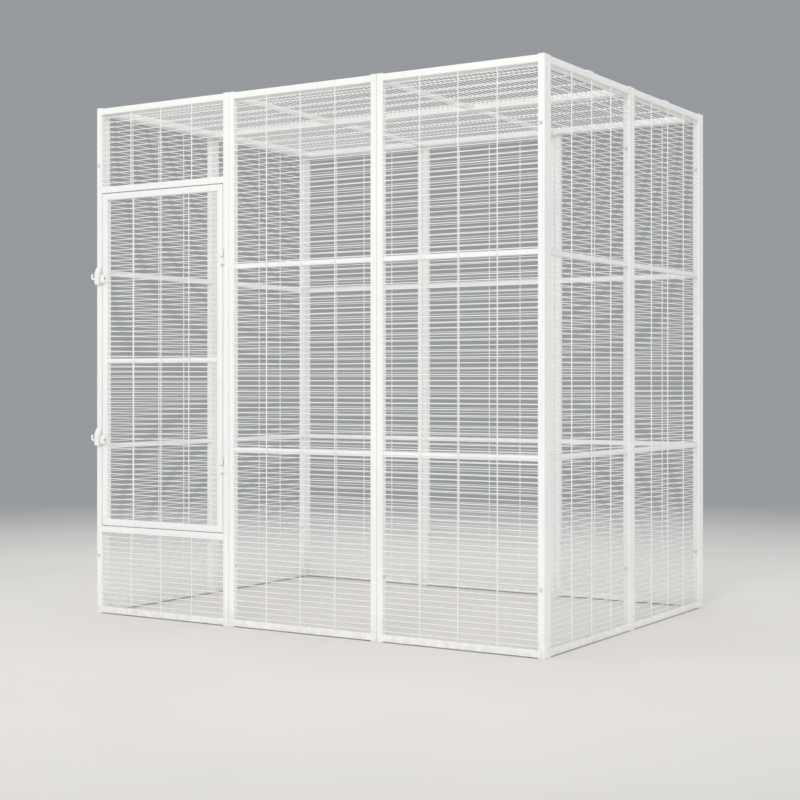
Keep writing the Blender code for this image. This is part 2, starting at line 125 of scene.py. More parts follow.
def out(tree, kind, output, inputs=None, **settings):
    """One output of a node that is added in the same way."""
    return add_node(tree, kind, inputs, **settings).outputs[output]


def new_finish(name):
    """A material, its tree, its shader and its Object coordinates."""
    made = bpy.data.materials.new(name)
    made.use_nodes = True
    tree = made.node_tree
    return made, tree, tree.nodes["Principled BSDF"], out(tree, "ShaderNodeTexCoord", "Object")


def noise(tree, place, scale, detail=2.0, stretch=None):
    """Cloudy noise from 0 to 1. stretch scales the place along each axis first."""
    if stretch:
        place = out(tree, "ShaderNodeMapping", "Vector", {"Vector": place, "Scale": stretch})
    return out(tree, "ShaderNodeTexNoise", "Fac", {"Vector": place, "Scale": scale, "Detail": detail})


def ranged(tree, value, start, end, low, high):
    """A value mapped from one range to another."""
    return out(tree, "ShaderNodeMapRange", "Result", {
        "Value": value, "From Min": start, "From Max": end, "To Min": low, "To Max": high})


def figured(tree, operation, first, second=0.0):
    """What a Math node makes of two values."""
    return out(tree, "ShaderNodeMath", "Value", {0: first, 1: second}, operation=operation)


def mixed(tree, share, first, second):
    """A colour between two, which are sockets 6 and 7 of a Mix node."""
    return out(tree, "ShaderNodeMix", 2, {0: share, 6: first, 7: second}, data_type="RGBA")


def bumped(tree, height, strength, depth, shader):
    """Gives a shader a bump of a real depth."""
    bump = {"Height": height, "Strength": strength, "Distance": depth}
    join(tree, out(tree, "ShaderNodeBump", "Normal", bump), shader, "Normal")


print("helpers: noise, ranges, sums, mixes and bumps")

# %% [markdown]
# The cage is powder coated: white powder is baked into a thick, even skin with a faint orange peel.
# Outdoors it greys a little where rain runs down, and ground dust stays near the feet. A picture of dirt
# would repeat and need unwrapping, so noise at a few sizes gives the skin, the runs and the slow cloud of
# tone. The groove between two panels is darkened with painted shade and some grime, which noise can't find,
# so the tubes carry it as an attribute.

# %% Powder coat
COAT_WHITE = (0.89, 0.89, 0.875, 1)
COAT_SHADE = (0.84, 0.85, 0.84, 1)
RUN_GREY = (0.66, 0.66, 0.64, 1)
GROUND_DUST = (0.56, 0.51, 0.44, 1)
# Painted shade with some grime: a dark colour laid into the groove where a stile meets a neighbouring
# panel.
SEAM_SHADE_AND_GRIME = (0.20, 0.20, 0.19, 1)
CLOUD_SCALE, WEAR_SCALE, PATCH_SCALE, PEEL_SCALE = 2.3, 14.0, 38.0, 520.0
CLOUD_EDGES, RUN_EDGES, PATCH_EDGES = (0.35, 0.68), (0.55, 0.78), (0.38, 0.62)
RUN_STRETCH = (90, 90, 1.7)
DUST_HEIGHT, THIN_DUST = 0.11, 0.15
PEEL_DEPTH = 0.0004
GLOSSIER, DULLER = 0.06, 0.10
FILM_WEIGHT, FILM_ROUGHNESS = 0.12, 0.22


def powder_coat(name, gloss, peel, runs, dust):
    """gloss is the middle roughness, peel the skin's bump, and runs and dust the dirt's strength."""
    made, tree, shader, place = new_finish(name)
    cloud = ranged(tree, noise(tree, place, CLOUD_SCALE, 3.0), *CLOUD_EDGES, 0.0, 1.0)
    colour = mixed(tree, cloud, COAT_WHITE, COAT_SHADE)
    streak = ranged(tree, noise(tree, place, 1.0, 4.0, RUN_STRETCH), *RUN_EDGES, 0.0, runs)
    colour = mixed(tree, streak, colour, RUN_GREY)
    height = out(tree, "ShaderNodeSeparateXYZ", "Z", {"Vector": place})
    near_ground = ranged(tree, height, 0.0, DUST_HEIGHT, 1.0, 0.0)
    patches = ranged(tree, noise(tree, place, PATCH_SCALE, 4.0), *PATCH_EDGES, THIN_DUST, 1.0)
    dusty = figured(tree, "MULTIPLY", figured(tree, "MULTIPLY", near_ground, patches), dust)
    colour = mixed(tree, dusty, colour, GROUND_DUST)
    # The seam attribute lays painted shade and some grime into the groove between panels.
    seam = out(tree, "ShaderNodeAttribute", "Fac", attribute_name="seam")
    join(tree, mixed(tree, seam, colour, SEAM_SHADE_AND_GRIME), shader, "Base Color")
    worn = noise(tree, place, WEAR_SCALE, 3.0)
    join(tree, ranged(tree, worn, *SOFT_EDGES, gloss - GLOSSIER, gloss + DULLER), shader, "Roughness")
    bumped(tree, noise(tree, place, PEEL_SCALE), peel, PEEL_DEPTH, shader)
    join(tree, FILM_WEIGHT, shader, "Coat Weight")
    join(tree, FILM_ROUGHNESS, shader, "Coat Roughness")
    return made


tube_coat = powder_coat("tube_powder_coat", gloss=0.38, peel=0.16, runs=0.30, dust=0.34)
wire_coat = powder_coat("wire_powder_coat", gloss=0.34, peel=0.10, runs=0.16, dust=0.24)
fitting_coat = powder_coat("fitting_powder_coat", gloss=0.36, peel=0.22, runs=0.40, dust=0.20)
print("coats:", tube_coat.name, wire_coat.name, fitting_coat.name)

# %% [markdown]
# Bolts, nuts, washers, screws and hinge pins are zinc plated. Outdoors zinc dulls to a pale grey bloom with
# bright metal left in patches. One even metallic value would look like chrome or paint, so it is patchy
# too, and fine turning marks show in the gloss. The tubes' end plugs are moulded polythene, softer in gloss
# than the coat, with a fine grain.

# %% Zinc plate and moulded plugs
ZINC_BRIGHT = (0.86, 0.87, 0.88, 1)
ZINC_BLOOM = (0.70, 0.72, 0.74, 1)
BLOOM_SCALE, METAL_SCALE, DULL_SCALE = 260.0, 330.0, 420.0
ZINC_METALLIC, ZINC_ROUGHNESS = (0.10, 0.70), (0.30, 0.52)
TURNED_STRETCH, TURNED_BUMP = (2600, 2600, 500), 0.25
PLUG_WHITE = (0.80, 0.80, 0.78, 1)
PLUG_SHADE = (0.72, 0.72, 0.70, 1)
PLUG_CLOUD, PLUG_WEAR, PLUG_GRAIN = 60.0, 150.0, 1900.0
PLUG_ROUGHNESS, PLUG_BUMP = (0.50, 0.62), 0.30
GRAIN_DEPTH = 0.0001


def zinc_plate(name):
    made, tree, shader, place = new_finish(name)
    bloom = ranged(tree, noise(tree, place, BLOOM_SCALE, 4.0), *FIRM_EDGES, 0.0, 1.0)
    join(tree, mixed(tree, bloom, ZINC_BRIGHT, ZINC_BLOOM), shader, "Base Color")
    metal = noise(tree, place, METAL_SCALE, 3.0)
    join(tree, ranged(tree, metal, *FIRM_EDGES, *ZINC_METALLIC), shader, "Metallic")
    dull = noise(tree, place, DULL_SCALE, 3.0)
    join(tree, ranged(tree, dull, *SOFT_EDGES, *ZINC_ROUGHNESS), shader, "Roughness")
    bumped(tree, noise(tree, place, 1.0, 3.0, TURNED_STRETCH), TURNED_BUMP, GRAIN_DEPTH, shader)
    return made


def moulded_plug(name):
    made, tree, shader, place = new_finish(name)
    tone = ranged(tree, noise(tree, place, PLUG_CLOUD, 3.0), *FIRM_EDGES, 0.0, 1.0)
    join(tree, mixed(tree, tone, PLUG_WHITE, PLUG_SHADE), shader, "Base Color")
    worn = noise(tree, place, PLUG_WEAR)
    join(tree, ranged(tree, worn, *SOFT_EDGES, *PLUG_ROUGHNESS), shader, "Roughness")
    bumped(tree, noise(tree, place, PLUG_GRAIN, 1.0), PLUG_BUMP, GRAIN_DEPTH, shader)
    return made


zinc = zinc_plate("zinc_plate")
plug_plastic = moulded_plug("white_plug_plastic")
print("metal and plastic:", zinc.name, plug_plastic.name)

# %% [markdown]
# White wires need a ground that is pale and still darker than they are. A floor's edge would cut through
# them, so a plain warm grey fades, some metres out, into the even backdrop. Only the camera and reflections
# see that backdrop: light comes from the sky and one lamp.

# %% Floor and backdrop
FLOOR_COLOUR = (0.80, 0.768, 0.73, 1)
FLOOR_SHADE, FLOOR_SCALE = 0.955, 1.1
FLOOR_ROUGHNESS = 0.85
BACKDROP_COLOUR = (0.31, 0.322, 0.335, 1)
FLOOR_REACH = 60.0
FADE_START, FADE_END = 1.5, 6.5


def mesh_from(shape, name):
    """A mesh from a bmesh, which is freed."""
    made = bpy.data.meshes.new(name)
    shape.to_mesh(made)
    shape.free()
    return made


def seen_directly(tree):
    """1 for rays of the camera, of reflections and through glass, and 0 for light."""
    rays = add_node(tree, "ShaderNodeLightPath").outputs
    first = figured(tree, "MAXIMUM", rays["Is Camera Ray"], rays["Is Glossy Ray"])
    return figured(tree, "MAXIMUM", first, rays["Is Transmission Ray"])


def floor_finish():
    made, tree, shader, place = new_finish("plain_floor")
    tone = ranged(tree, noise(tree, place, FLOOR_SCALE, 4.0), *SOFT_EDGES, 0.0, 1.0)
    darker = tuple(part * FLOOR_SHADE for part in FLOOR_COLOUR[:3]) + (1,)
    join(tree, mixed(tree, tone, FLOOR_COLOUR, darker), shader, "Base Color")
    join(tree, FLOOR_ROUGHNESS, shader, "Roughness")
    glow = out(tree, "ShaderNodeEmission", "Emission", {"Color": BACKDROP_COLOUR})
    distance = out(tree, "ShaderNodeVectorMath", "Value", {0: place}, operation="LENGTH")
    fade = {"Value": distance, "From Min": FADE_START, "From Max": FADE_END}
    far = out(tree, "ShaderNodeMapRange", "Result", fade, interpolation_type="SMOOTHSTEP")
    share = figured(tree, "MULTIPLY", far, seen_directly(tree))
    blend = {0: share, 1: shader.outputs["BSDF"], 2: glow}
    surface = out(tree, "ShaderNodeMixShader", "Shader", blend)
    join(tree, surface, tree.nodes["Material Output"], "Surface")
    return made


floor_shape = bmesh.new()
bmesh.ops.create_circle(floor_shape, cap_ends=True, segments=96, radius=FLOOR_REACH)
floor = placed("floor", mesh_from(floor_shape, "floor"))
floor.data.materials.append(floor_finish())
floor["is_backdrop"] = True
print("floor fades from", FADE_START, "to", FADE_END, "m")

# %% [markdown]
# In the picture both walls that face the camera are almost equally white, as under thin cloud. Lamps alone
# would leave one dark, so a strong, cool sky does most of the work, and one wide warm lamp over the
# camera's shoulder shades each tube softly. The sky is weaker overhead, or white roof rails would burn out
# before the walls are light enough.

# %% Light
SKY_LIGHT = (0.96, 0.98, 1.0, 1)
SKY_AT_SIDES, SKY_OVERHEAD = 1.28, 0.70
LAMP_COLOUR = (1.0, 0.975, 0.93)
LAMP_POWER = 190
LAMP_PLACE, LAMP_AIM = Vector((2.4, -6.9, 5.8)), Vector((0, 0, 1.0))
LAMP_SIZE = 3.2

world = bpy.data.worlds.new("studio")
world.use_nodes = True
scene.world = world
sky = world.node_tree
lit = sky.nodes["Background"]
join(sky, SKY_LIGHT, lit, "Color")
direction = out(sky, "ShaderNodeTexCoord", "Generated")
height = out(sky, "ShaderNodeSeparateXYZ", "Z", {"Vector": direction})
join(sky, ranged(sky, height, 0.0, 1.0, SKY_AT_SIDES, SKY_OVERHEAD), lit, "Strength")
shown = out(sky, "ShaderNodeBackground", "Background", {"Color": BACKDROP_COLOUR})
choice = {0: seen_directly(sky), 1: lit.outputs["Background"], 2: shown}
chosen = out(sky, "ShaderNodeMixShader", "Shader", choice)
join(sky, chosen, sky.nodes["World Output"], "Surface")

lamp_data = bpy.data.lights.new("soft_sun", "AREA")
lamp_data.shape = "DISK"
lamp_data.size = LAMP_SIZE
lamp_data.energy = LAMP_POWER
lamp_data.color = LAMP_COLOUR
lamp = placed("soft_sun", lamp_data)
lamp.location = LAMP_PLACE
lamp.rotation_euler = (LAMP_AIM - LAMP_PLACE).to_track_quat("-Z", "Y").to_euler()
scene.view_settings.view_transform = "Standard"
print("lamp of", LAMP_POWER, "W, sky from", SKY_AT_SIDES, "down to", SKY_OVERHEAD)

# %% [markdown]
# Every piece is added the same way: its mesh already stands in its place, so the object stays at the
# origin. It rides on a body of the frame, and may stand for nodes of the plain model, which are then
# hidden. Most forms here, from a tube to a screw head, are skins through rings of points, which one helper
# draws.

# %% Add a piece


def add_piece(name, mesh, coat, body, nodes=()):
    mesh.name = name
    if not mesh.materials:
        mesh.materials.append(coat)
    piece = placed(name, mesh)
    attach(piece, body)
    if nodes:
        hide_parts(*nodes)


def mesh_of(shape, smooth_under=40):
    """A mesh from a bmesh, with its faces outwards and its round faces smooth."""
    bmesh.ops.recalc_face_normals(shape, faces=shape.faces)
    mesh = mesh_from(shape, "piece")
    mesh.shade_smooth()
    mesh.set_sharp_from_angle(angle=math.radians(smooth_under))
    return mesh


def skin(shape, loops, closed_ring=False):
    """Faces from loop to loop, with caps at the ends or, on a closed ring, back to the first."""
    following = loops[1:] + loops[:1] if closed_ring else loops[1:]
    for lower, upper in zip(loops, following):
        for k in range(len(lower)):
            after = (k + 1) % len(lower)
            shape.faces.new((lower[k], lower[after], upper[after], upper[k]))
    if not closed_ring:
        shape.faces.new(reversed(loops[0]))
        shape.faces.new(loops[-1])


print("helpers: pieces, meshes and skins")

# %% [markdown]
# All panels are of one kind, so each is described in its own axes: X across it, Y from its outer face
# inwards, Z up its length. Those directions and the node's box give the placement, and what follows is made
# in panel axes and then moved there.

# %% Where each panel stands
TAB_OVERHANG = 0.020
TAB_RISE = 0.0053
TUBE = bay_high.y - bay_low.y
# Each side has its panels, and the directions right and inwards for one who faces it from outside.
SIDES = {
    "front": ("front_door_bay front_panel_2 front_panel_3", (1, 0, 0), (0, 1, 0)),
    "back": ("back_panel_1 back_panel_2 back_panel_3", (-1, 0, 0), (0, -1, 0)),
    "left": ("left_wall_panel_1 left_wall_panel_2", (0, -1, 0), (1, 0, 0)),
    "right": ("right_wall_panel_1 right_wall_panel_2", (0, 1, 0), (-1, 0, 0)),
    "roof": ("roof_panel_1 roof_panel_2", (0, 1, 0), (0, 0, -1)),
}


def measured_panel(node, side, body="cage"):
    """A panel's node, side, body, placement, width and length."""
    low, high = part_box(node)
    if side == "roof":
        low, high = low + Vector((TAB_OVERHANG, 0, 0)), high - Vector((TAB_OVERHANG, 0, TAB_RISE))
    right, inwards = (Vector(direction) for direction in SIDES[side][1:])
    up = right.cross(inwards)
    facing = right + inwards + up
    origin = Vector([low[axis] if facing[axis] > 0 else high[axis] for axis in range(3)])
    place = Matrix.Translation(origin) @ Matrix((right, inwards, up)).transposed().to_4x4()
    width, length = abs((high - low).dot(right)), abs((high - low).dot(up))
    return SimpleNamespace(node=node, side=side, body=body, place=place, width=width, length=length)


PANELS = [measured_panel(node, side) for side in SIDES for node in SIDES[side][0].split()]
PANELS.append(measured_panel("door", "front", "door"))
for panel in PANELS:
    print(panel.node, round(panel.width, 4), "x", round(panel.length, 4))

# %% [markdown]
# Each kind of panel has its rails at its own heights. The door bay has a sill and a header of full tube
# with the doorway between them, the other walls and the roof have two thinner crossbars, and the door has
# one. A bar is a middle height and a size, and a field is a stretch of net.

# %% What each panel is made of
CROSSBAR = 0.019
RAIL_INSET = 0.003
LOW_CROSSBAR, HIGH_CROSSBAR_FROM_TOP = 0.661, 0.653
ROOF_CROSSBAR_FROM_END = 0.640
SILL, HEADER_FROM_TOP = 0.334, 0.326
MIDRAIL = 0.648


def plan_panel(panel):
    """Adds the inset of the end rails, the bars between them and the fields of net."""
    length, on_roof = panel.length, panel.side == "roof"
    panel.inset = 0.0 if on_roof or panel.node == "door" else RAIL_INSET
    end = panel.inset + TUBE
    low, from_top = (ROOF_CROSSBAR_FROM_END,) * 2 if on_roof else (LOW_CROSSBAR, HIGH_CROSSBAR_FROM_TOP)
    panel.bars = [(low, CROSSBAR), (length - from_top, CROSSBAR)]
    panel.fields = [(end, length - end)]
    if panel.node == "door":
        panel.bars = [(MIDRAIL, CROSSBAR)]
    elif panel.node == "front_door_bay":
        header = length - HEADER_FROM_TOP
        panel.bars = [(SILL, TUBE), (header, TUBE)]
        panel.fields = [(end, SILL - TUBE / 2), (header + TUBE / 2, length - end)]


def all_bars(panel):
    """The end rails and the bars between them, each a middle height and a size."""
    low, high = panel.inset + TUBE / 2, panel.length - panel.inset - TUBE / 2
    return [(low, TUBE), (high, TUBE)] + panel.bars


for panel in PANELS:
    plan_panel(panel)
print("bars:", sum(len(panel.bars) for panel in PANELS), "besides the end rails")

# %% [markdown]
# Square tube is bent from strip, so its long edges are round. That small radius catches the light along
# every stile and is most of what makes a tube read as steel. A box would need a bevel on four edges of
# twelve, so the rounded section is drawn once and stretched from end to end. Bars run a little into the
# stiles, where the weld fills the rounded edge. The outer points that lie against a neighbouring panel get
# the attribute from which the coat paints shade and some grime into the groove.

# %% Tubes
TUBE_EDGE_RADIUS = 0.0027
TUBE_EDGE_STEPS = 4
FILLED_EDGE = 0.7
SEAM_DEPTH = 0.0001
WALLS_LEFT, WALLS_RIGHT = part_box("left_wall_panel_1")[0].x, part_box("right_wall_panel_1")[1].x
PLUG_FLANGE = 0.0016


def rounded_corners(low, high, radius, steps):
    """The outline of a rectangle with rounded corners, as pairs of numbers."""
    points = []
    middles = ((high[0] - radius, high[1] - radius), (low[0] + radius, high[1] - radius),
               (low[0] + radius, low[1] + radius), (high[0] - radius, low[1] + radius))
    for quarter, (x, y) in enumerate(middles):
        for step in range(steps + 1):
            angle = math.pi / 2 * (quarter + step / steps)
            points.append((x + radius * math.cos(angle), y + radius * math.sin(angle)))
    return points


def add_tube(shape, low, high, level):
    """A closed tube between two corners, level along X or else upright along Z."""
    along = 0 if level else 2
    across = slice(1, 3) if level else slice(0, 2)
    outline = rounded_corners(low[across], high[across], TUBE_EDGE_RADIUS, TUBE_EDGE_STEPS)
    loops = []
    for end in (low[along], high[along]):
        points = [(end, *pair) if level else (*pair, end) for pair in outline]
        loops.append([shape.verts.new(point) for point in points])
    skin(shape, loops)


def mark_seams(shape, panel):
    """Marks a stile's outer side or, at the cage's corners, its back, where the coat paints shade and some
    grime.
    """
    seam = shape.verts.layers.float.new("seam")
    for x in (0.0, panel.width):
        side = (panel.place @ Vector((x, 0, 0))).x
        at_end = min(side - WALLS_LEFT, WALLS_RIGHT - side) < SEAM_DEPTH
        at_corner = at_end and panel.side in ("front", "back")
        for point in shape.verts:
            to_side = abs(point.co.x - x)
            distance = TUBE - point.co.y if at_corner else to_side
            if distance < SEAM_DEPTH and to_side < TUBE + SEAM_DEPTH:
                point[seam] = 1.0


def tube_mesh(panel):
    shape = bmesh.new()
    width, length = panel.width, panel.length
    for left in (0.0, width - TUBE):
        add_tube(shape, (left, 0, PLUG_FLANGE), (left + TUBE, TUBE, length - PLUG_FLANGE), False)
    if panel.node != "door" and panel.side != "roof":
        mark_seams(shape, panel)
    reach = FILLED_EDGE * TUBE_EDGE_RADIUS
    for height, size in all_bars(panel):
        low = (TUBE - reach, TUBE - size, height - size / 2)
        high = (width - TUBE + reach, TUBE, height + size / 2)
        add_tube(shape, low, high, True)
    shape.transform(panel.place)
    return mesh_of(shape)


for panel in PANELS:
    add_piece(panel.node + "_tubes", tube_mesh(panel), tube_coat, panel.body, [panel.node])
print("tube work on", len(PANELS), "panels")

# %% [markdown]
# What repeats is made with Geometry Nodes. These helpers build a tree with named inputs, put it on a
# starting mesh, set the inputs by their identifiers, and keep only the plain mesh that comes out. Only what
# differs from panel to panel is an input.

# %% Helpers for Geometry Nodes
SOCKETS = {"size": "NodeSocketFloat", "count": "NodeSocketInt", "thing": "NodeSocketObject"}


def new_tree(name, draw, smooth=True, **inputs):
    """A geometry tree. Its inputs are named by kind, and draw makes its geometry from them."""
    tree = bpy.data.node_groups.new(name, "GeometryNodeTree")
    labels = {"Geometry": "NodeSocketGeometry", "Finish": "NodeSocketMaterial"}
    for kind, names in inputs.items():
        labels.update((label, SOCKETS[kind]) for label in names.split(", "))
    for label, socket in labels.items():
        tree.interface.new_socket(name=label, in_out="INPUT", socket_type=socket)
    tree.interface.new_socket(name="Geometry", in_out="OUTPUT", socket_type="NodeSocketGeometry")
    given, result = add_node(tree, "NodeGroupInput").outputs, add_node(tree, "NodeGroupOutput")
    geometry = draw(tree, given)
    if smooth:
        geometry = out(tree, "GeometryNodeSetShadeSmooth", "Geometry", {"Geometry": geometry})
    real = out(tree, "GeometryNodeRealizeInstances", "Geometry", {"Geometry": geometry})
    coated = {"Geometry": real, "Material": given["Finish"]}
    join(tree, out(tree, "GeometryNodeSetMaterial", "Geometry", coated), result, "Geometry")
    print("the tree", name, "has", len(tree.nodes), "nodes")
    return tree


def plain_mesh(thing):
    """What an object's modifiers make of it. The object is removed."""
    made = bpy.data.meshes.new_from_object(thing.evaluated_get(bpy.context.evaluated_depsgraph_get()))
    bpy.data.objects.remove(thing)
    return made


def grown(tree, start, values, place=None):
    """The mesh that a tree makes from a starting mesh, moved to its place."""
    seed = placed("seed", start)
    modifier = seed.modifiers.new("grow", "NODES")
    modifier.node_group = tree
    for item in tree.interface.items_tree:
        if item.in_out == "INPUT" and item.name in values:
            modifier[item.identifier] = values[item.name]
    made = plain_mesh(seed)
    if place is not None:
        made.transform(place)
    return made


def on_points(tree, points, instance, **more):
    """An instance on each point. more may give a Scale or a Rotation."""
    more.update(Points=points, Instance=instance)
    return out(tree, "GeometryNodeInstanceOnPoints", "Instances", more)


def swept(tree, curve, radius, sides, scale=1.0):
    """A round bar along a curve."""
    circle = {"Radius": radius, "Resolution": sides}
    section = out(tree, "GeometryNodeCurvePrimitiveCircle", "Curve", circle)
    bar = {"Curve": curve, "Profile Curve": section, "Scale": scale, "Fill Caps": True}
    return out(tree, "GeometryNodeCurveToMesh", "Mesh", bar)


print("an input of a tree may be a", ", a ".join(SOCKETS))

# %% [markdown]
# The net is resistance-welded mesh: level wires every 20 mm, which parrots climb, sunk a little into three
# upright ones that keep them apart. Over a thousand wires are too many to draw one by one, and a plain
# array would be dead straight. So a tree draws a row of wires, bends each by a few tenths of a millimetre,
# and adds a blob of weld where each wire meets a stile.

# %% Wires and tacks
WIRE_SIDES = 8
LEVEL_STEPS, UPRIGHT_STEPS = 8, 24
LEVEL_WAVES, UPRIGHT_WAVES = (6, 1, 700), (700, 1, 4)
WAVER = 0.0012
TACK_RADIUS = 0.0026
TACK_SEGMENTS, TACK_RINGS = 7, 5
TACK_LEAST, TACK_MOST = (0.55, 0.75, 0.80), (0.90, 1.00, 1.25)


def vector_of(tree, x=0.0, y=0.0, z=0.0):
    return out(tree, "ShaderNodeCombineXYZ", "Vector", {"X": x, "Y": y, "Z": z})


def line_of_points(tree, count, start, step):
    line = {"Count": count, "Start Location": start, "Offset": step}
    return out(tree, "GeometryNodeMeshLine", "Mesh", line, mode="OFFSET", count_mode="TOTAL")


def wavering(tree, curves, waves, given):
    """Moves a curve's points by a little noise, which differs from wire to wire."""
    kind = "ShaderNodeVectorMath"
    position = out(tree, "GeometryNodeInputPosition", "Position")
    spread = out(tree, kind, "Vector", {0: position, 1: waves}, operation="MULTIPLY")
    clouds = {"Vector": spread, "W": given["Seed"], "Scale": 1.0}
    cloud = out(tree, "ShaderNodeTexNoise", "Color", clouds, noise_dimensions="4D")
    centred = out(tree, kind, "Vector", {0: cloud, 1: (0.5, 0.5, 0.5)}, operation="SUBTRACT")
    offset = out(tree, kind, "Vector", {0: centred, "Scale": WAVER}, operation="SCALE")
    return out(tree, "GeometryNodeSetPosition", "Geometry", {"Geometry": curves, "Offset": offset})


def wires(tree, points, end, steps, radius, waves, given):
    """Round wires from each point to that point plus end."""
    straight = out(tree, "GeometryNodeCurvePrimitiveLine", "Curve", {"End": end})
    stepped = out(tree, "GeometryNodeResampleCurve", "Curve", {"Curve": straight, "Count": steps})
    copies = on_points(tree, points, stepped)
    real = out(tree, "GeometryNodeRealizeInstances", "Geometry", {"Geometry": copies})
    return swept(tree, wavering(tree, real, waves, given), radius, WIRE_SIDES)


def tacks(tree, points, given, seed_step):
    """A small blob of weld on each point, no two alike."""
    ball = {"Segments": TACK_SEGMENTS, "Rings": TACK_RINGS, "Radius": TACK_RADIUS}
    blob = out(tree, "GeometryNodeMeshUVSphere", "Mesh", ball)
    chance = {"Min": TACK_LEAST, "Max": TACK_MOST, "Seed": figured(tree, "ADD", given["Seed"], seed_step)}
    size = out(tree, "FunctionNodeRandomValue", "Value", chance, data_type="FLOAT_VECTOR")
    return on_points(tree, points, blob, Scale=size)


print("wires of", WIRE_SIDES, "sides")

# %% [markdown]
# The tree only says where the wires start and how far they run: level ones from stile to stile, with a tack
# at both ends, and upright ones from foot to head.

# %% Tree for the wire net
ROW_PITCH = 0.020
ROW_RADIUS, COLUMN_RADIUS = 0.0016, 0.0020
NET_FLOOR, COLUMN_FROM_FACE = TUBE - CROSSBAR, 0.0002
COLUMN_COUNT = 3


def draw_net(tree, given):
    width = vector_of(tree, figured(tree, "SUBTRACT", given["Right"], given["Left"]))
    rise = vector_of(tree, z=figured(tree, "SUBTRACT", given["Head"], given["Foot"]))
    starts, ends = (
        line_of_points(tree, given["Row count"],
                       vector_of(tree, given[side], NET_FLOOR - ROW_RADIUS, given["First row"]),
                       (0, 0, ROW_PITCH))
        for side in ("Left", "Right"))
    first = vector_of(tree, given["First column"], COLUMN_RADIUS + COLUMN_FROM_FACE, given["Foot"])
    columns = line_of_points(tree, COLUMN_COUNT, first, vector_of(tree, given["Column pitch"]))
    whole = add_node(tree, "GeometryNodeJoinGeometry")
    for part in (wires(tree, starts, width, LEVEL_STEPS, ROW_RADIUS, LEVEL_WAVES, given),
                 wires(tree, columns, rise, UPRIGHT_STEPS, COLUMN_RADIUS, UPRIGHT_WAVES, given),
                 tacks(tree, starts, given, 1), tacks(tree, ends, given, 2)):
        join(tree, part, whole, "Geometry")
    return whole.outputs["Geometry"]


net_tree = new_tree("wire_net", draw_net, count="Row count, Seed",
                    size="Left, Right, Foot, Head, First row, First column, Column pitch")

# %% [markdown]
# One net goes into each field. A row never stands nearer than 11 mm to a rail, which leaves room for the
# welder's electrode, so the rows are counted first and then set in the middle of their field.

# %% Wire nets
ROW_FROM_RAIL = 0.011
SEED_STEP = 11


def net_values(panel, low, high, seed):
    left, right = TUBE, panel.width - TUBE
    row_count = math.floor((high - low - 2 * ROW_FROM_RAIL) / ROW_PITCH) + 1
    column_pitch = (right - left) / (COLUMN_COUNT + 1)
    first_row = (low + high - (row_count - 1) * ROW_PITCH) / 2
    return {"Left": left, "Right": right, "Foot": low, "Head": high, "First row": first_row,
            "Row count": row_count, "First column": left + column_pitch, "Column pitch": column_pitch,
            "Seed": seed, "Finish": wire_coat}


def joined(meshes):
    """One mesh from several of the same finish."""
    shape = bmesh.new()
    for mesh in meshes:
        shape.from_mesh(mesh)
    shape.to_mesh(meshes[0])
    shape.free()
    return meshes[0]


wire_count = 0
for number, panel in enumerate(PANELS):
    nets = []
    for field, (low, high) in enumerate(panel.fields):
        values = net_values(panel, low, high, SEED_STEP * number + field)
        wire_count += values["Row count"] + COLUMN_COUNT
        nets.append(grown(net_tree, bpy.data.meshes.new("net"), values, panel.place))
    add_piece(panel.node + "_wires", joined(nets), wire_coat, panel.body)
print("wires:", wire_count)

# %% [markdown]
# A weld is a row of frozen ripples. A smooth bar would look like glue, and sculpting each bead would take
# days, so a tree turns plain edges into bars whose radius rises and falls along their length, and roughens
# the crown.

# %% Tree for weld beads
BEAD_SIDES = 7
BEAD_RIPPLE = 0.16
RIPPLE_PITCH = 0.0022
STEPS_A_RIPPLE = 4
CROWN_SCALE = 300.0
LEAF_SEED, LUMP_SEED, TAB_SEED = 40, 60, 80


def draw_beads(tree, given):
    lines = out(tree, "GeometryNodeMeshToCurve", "Curve", {"Mesh": given["Geometry"]})
    steps = {"Curve": lines, "Length": RIPPLE_PITCH / STEPS_A_RIPPLE}
    stepped = out(tree, "GeometryNodeResampleCurve", "Curve", steps, mode="LENGTH")
    along = out(tree, "GeometryNodeSplineParameter", "Length")
    turns = figured(tree, "MULTIPLY", figured(tree, "DIVIDE", along, RIPPLE_PITCH), 2 * math.pi)
    rippled = figured(tree, "MULTIPLY", figured(tree, "SINE", turns), BEAD_RIPPLE)
    clouds = {"W": given["Seed"], "Scale": CROWN_SCALE}
    crown = out(tree, "ShaderNodeTexNoise", "Fac", clouds, noise_dimensions="4D")
    uneven = figured(tree, "ADD", figured(tree, "ADD", rippled, crown), 0.5)
    return swept(tree, stepped, given["Radius"], BEAD_SIDES, uneven)


bead_tree = new_tree("weld_beads", draw_beads, size="Radius", count="Seed")


def beads(pairs, radius, seed, place=None):
    """A weld bead between the two points of each pair."""
    mesh = bpy.data.meshes.new("lines")
    points = [point for pair in pairs for point in pair]
    mesh.from_pydata(points, [(2 * k, 2 * k + 1) for k in range(len(pairs))], [])
    return grown(bead_tree, mesh, {"Radius": radius, "Seed": seed, "Finish": fitting_coat}, place)

# %% [markdown]
# A short bead runs along each corner where a bar meets a stile. The tubes' mesh knows nothing of these
# corners, but the list of bars does, so the beads are drawn from that list.

# %% Weld beads of the panels
BEAD_RADIUS = 0.0017
BEAD_MARGIN = 0.0025


def bar_welds(panel):
    """The corners over and under each bar's two ends."""
    pairs = []
    for height, size in all_bars(panel):
        near, far = TUBE - size + BEAD_MARGIN, TUBE - BEAD_MARGIN
        for x in (TUBE, panel.width - TUBE):
            for z in (height - size / 2, height + size / 2):
                if panel.inset < z < panel.length - panel.inset:
                    pairs.append(((x, near, z), (x, far, z)))
    return pairs


for number, panel in enumerate(PANELS):
    welds = beads(bar_welds(panel), BEAD_RADIUS, number, panel.place)
    add_piece(panel.node + "_welds", welds, fitting_coat, panel.body)
print("beads on", len(PANELS), "panels")

